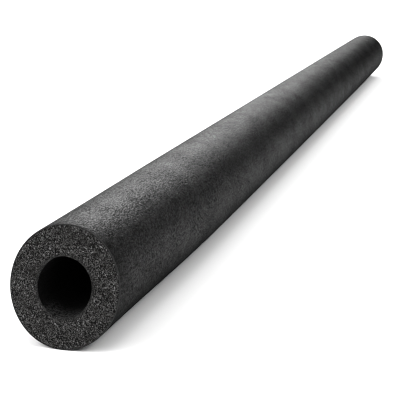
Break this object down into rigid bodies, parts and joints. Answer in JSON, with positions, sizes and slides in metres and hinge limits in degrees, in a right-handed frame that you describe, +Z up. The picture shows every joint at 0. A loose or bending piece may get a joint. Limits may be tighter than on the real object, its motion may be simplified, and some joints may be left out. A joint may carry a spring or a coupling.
{
  "type": "pipe insulation lagging",
  "caption": "Straight unslit tube of black closed-cell rubber foam with a smooth skin and square cut ends, slid over a pipe to insulate it.",
  "frame": {"origin": "on the floor under the middle of the tube, midway between its two ends", "axes": "+X along the tube's length, +Y across it, +Z up from the floor that it lies on"},
  "size_m": [2, 0.1014, 0.1014],
  "materials": {
    "foam_rubber": "matte"
  },
  "bodies": {
    "root": {"foam_tube": "foam_rubber"}
  },
  "joints": []
}
